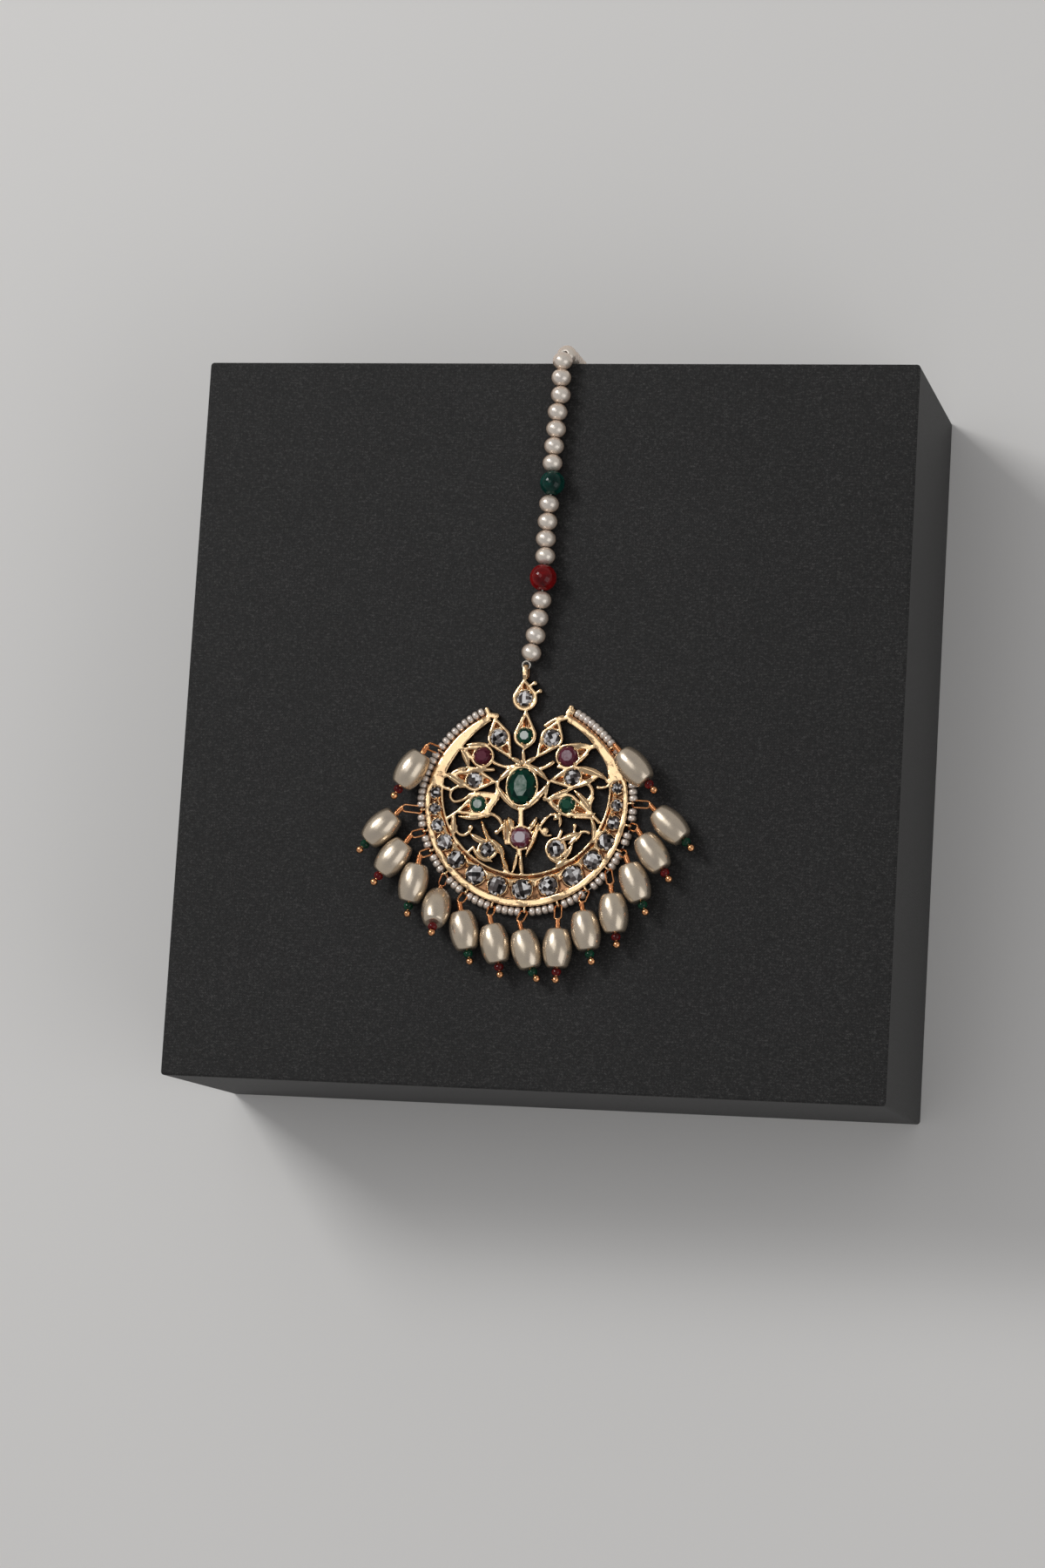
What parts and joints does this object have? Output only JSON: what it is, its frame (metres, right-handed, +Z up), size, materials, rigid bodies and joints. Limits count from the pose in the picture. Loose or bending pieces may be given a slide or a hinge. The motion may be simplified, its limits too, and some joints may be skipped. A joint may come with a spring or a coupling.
{
  "type": "maang tikka on a display box",
  "caption": "Forehead jewel lying on a plain square box: gilt crescent round a stone-set flower, a fringe of oval pearl drops, and a pearl string that ends in a hair hook.",
  "frame": {"origin": "centre of the display box's underside", "axes": "+Z up, +Y along the string from the jewel towards the box's back edge, +X to the jewel's right seen from above"},
  "size_m": [0.15, 0.1542, 0.059],
  "materials": {
    "box_cloth": "black finely woven book cloth over board",
    "gold": "bright gold plate with warm rose shadows",
    "copper_gold": "polished copper-gold wire",
    "drop_pearl": "ivory pearl lustre",
    "string_pearl": "cream pearl lustre",
    "red_glass": "dark red glass",
    "green_glass": "dark green glass",
    "red_bead": "deep red translucent bead",
    "green_bead": "deep teal-green translucent bead",
    "green_stone": "emerald green cut stone",
    "ruby_stone": "ruby pink cut stone",
    "clear_stone": "clear faceted stone with a dark back",
    "thread": "pale cream thread"
  },
  "bodies": {
    "root": {"accent_beads_green": "green_glass", "accent_beads_red": "red_glass", "crescent_stones": "clear_stone", "display_box": "box_cloth", "drop_pearl_01": "drop_pearl", "drop_pearl_02": "drop_pearl", "drop_pearl_03": "drop_pearl", "drop_pearl_04": "drop_pearl", "drop_pearl_05": "drop_pearl", "drop_pearl_06": "drop_pearl", "drop_pearl_07": "drop_pearl", "drop_pearl_08": "drop_pearl", "drop_pearl_09": "drop_pearl", "drop_pearl_10": "drop_pearl", "drop_pearl_11": "drop_pearl", "drop_pearl_12": "drop_pearl", "drop_pearl_13": "drop_pearl", "drop_pearl_14": "drop_pearl", "drop_pearl_15": "drop_pearl", "drop_pin_01": "copper_gold", "drop_pin_02": "copper_gold", "drop_pin_03": "copper_gold", "drop_pin_04": "copper_gold", "drop_pin_05": "copper_gold", "drop_pin_06": "copper_gold", "drop_pin_07": "copper_gold", "drop_pin_08": "copper_gold", "drop_pin_09": "copper_gold", "drop_pin_10": "copper_gold", "drop_pin_11": "copper_gold", "drop_pin_12": "copper_gold", "drop_pin_13": "copper_gold", "drop_pin_14": "copper_gold", "drop_pin_15": "copper_gold", "hair_hook": "gold", "pendant_frame": "gold", "stone_bottom_left": "clear_stone", "stone_bottom_right": "clear_stone", "stone_centre": "green_stone", "stone_green_left": "green_stone", "stone_green_right": "green_stone", "stone_green_top": "green_stone", "stone_mid_left": "clear_stone", "stone_mid_right": "clear_stone", "stone_ruby_bottom": "ruby_stone", "stone_ruby_left": "ruby_stone", "stone_ruby_right": "ruby_stone", "stone_top_drop": "clear_stone", "stone_upper_left": "clear_stone", "stone_upper_right": "clear_stone", "string_bead_green": "green_bead", "string_bead_red": "red_bead", "string_pearls": "string_pearl", "string_thread": "thread"}
  },
  "joints": []
}
